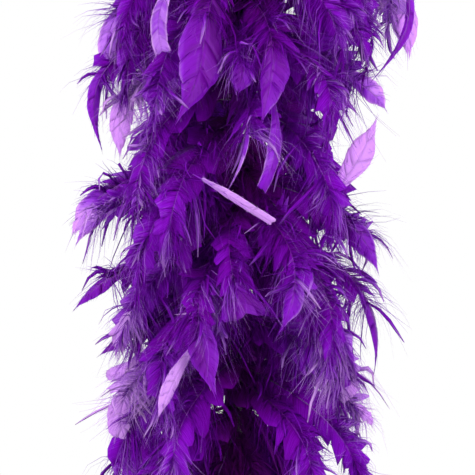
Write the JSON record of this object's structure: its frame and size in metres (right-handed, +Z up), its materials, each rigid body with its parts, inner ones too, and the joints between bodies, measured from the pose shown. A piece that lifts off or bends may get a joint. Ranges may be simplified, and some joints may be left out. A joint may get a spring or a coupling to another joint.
{
  "type": "feather boa",
  "caption": "Violet feather boa: dyed flat feathers with fluffy down, bound all round a twisted cord that hangs from a loop and ends in a knotted tail.",
  "frame": {"origin": "top inside edge of the hanging loop, where a hook or peg carries the boa", "axes": "+Z up along the boa's length, which hangs along -Z; X across the loop's eye from leg to leg"},
  "size_m": [0.1611, 0.1619, 1.842],
  "materials": {
    "feather": "satin",
    "cord": "matte",
    "thread": "matte"
  },
  "bodies": {
    "stretch_01": {"hanging_loop": "cord", "top_knot": "cord", "top_whipping": "thread", "ply_a_01": "cord", "ply_b_01": "cord", "binding_thread_01": "thread", "feathers_01_upper": "feather", "feathers_01_middle": "feather", "feathers_01_lower": "feather"},
    "stretch_02": {"ply_a_02": "cord", "ply_b_02": "cord", "binding_thread_02": "thread", "feathers_02_upper": "feather", "feathers_02_middle": "feather", "feathers_02_lower": "feather"},
    "stretch_03": {"ply_a_03": "cord", "ply_b_03": "cord", "binding_thread_03": "thread", "feathers_03_upper": "feather", "feathers_03_middle": "feather", "feathers_03_lower": "feather"},
    "stretch_04": {"ply_a_04": "cord", "ply_b_04": "cord", "binding_thread_04": "thread", "feathers_04_upper": "feather", "feathers_04_middle": "feather", "feathers_04_lower": "feather"},
    "stretch_05": {"ply_a_05": "cord", "ply_b_05": "cord", "binding_thread_05": "thread", "feathers_05_upper": "feather", "feathers_05_middle": "feather", "feathers_05_lower": "feather"},
    "stretch_06": {"ply_a_06": "cord", "ply_b_06": "cord", "binding_thread_06": "thread", "feathers_06_upper": "feather", "feathers_06_middle": "feather", "feathers_06_lower": "feather"},
    "stretch_07": {"ply_a_07": "cord", "ply_b_07": "cord", "binding_thread_07": "thread", "feathers_07_upper": "feather", "feathers_07_middle": "feather", "feathers_07_lower": "feather"},
    "stretch_08": {"ply_a_08": "cord", "ply_b_08": "cord", "binding_thread_08": "thread", "feathers_08_upper": "feather", "feathers_08_middle": "feather", "feathers_08_lower": "feather", "bottom_whipping": "thread", "bottom_knot": "cord", "tail": "cord", "tail_knot": "cord"}
  },
  "joints": [
    {"name": "bend_01_02", "type": "hinge", "parent": "stretch_01", "child": "stretch_02", "pos_m": [0, 0, -0.27], "axis": [0, 1, 0], "range_deg": [-45, 45], "deforming": ["ply_a_01", "ply_b_01", "feathers_01_lower", "ply_a_02", "ply_b_02", "feathers_02_upper"]},
    {"name": "bend_02_03", "type": "hinge", "parent": "stretch_02", "child": "stretch_03", "pos_m": [0, 0, -0.48], "axis": [1, 0, 0], "range_deg": [-45, 45], "deforming": ["feathers_02_lower", "ply_a_03", "ply_b_03", "feathers_03_upper"]},
    {"name": "bend_03_04", "type": "hinge", "parent": "stretch_03", "child": "stretch_04", "pos_m": [0, 0, -0.69], "axis": [0, 1, 0], "range_deg": [-45, 45], "deforming": ["feathers_03_lower", "ply_a_04", "ply_b_04", "feathers_04_upper"]},
    {"name": "bend_04_05", "type": "hinge", "parent": "stretch_04", "child": "stretch_05", "pos_m": [0, 0, -0.9], "axis": [1, 0, 0], "range_deg": [-45, 45], "deforming": ["feathers_04_lower", "ply_a_05", "ply_b_05", "feathers_05_upper"]},
    {"name": "bend_05_06", "type": "hinge", "parent": "stretch_05", "child": "stretch_06", "pos_m": [0, 0, -1.11], "axis": [0, 1, 0], "range_deg": [-45, 45], "deforming": ["feathers_05_lower", "ply_a_06", "ply_b_06", "feathers_06_upper"]},
    {"name": "bend_06_07", "type": "hinge", "parent": "stretch_06", "child": "stretch_07", "pos_m": [0, 0, -1.32], "axis": [1, 0, 0], "range_deg": [-45, 45], "deforming": ["feathers_06_lower", "ply_a_07", "ply_b_07", "feathers_07_upper"]},
    {"name": "bend_07_08", "type": "hinge", "parent": "stretch_07", "child": "stretch_08", "pos_m": [0, 0, -1.53], "axis": [0, 1, 0], "range_deg": [-45, 45], "deforming": ["feathers_07_lower", "ply_a_08", "ply_b_08", "feathers_08_upper"]}
  ]
}
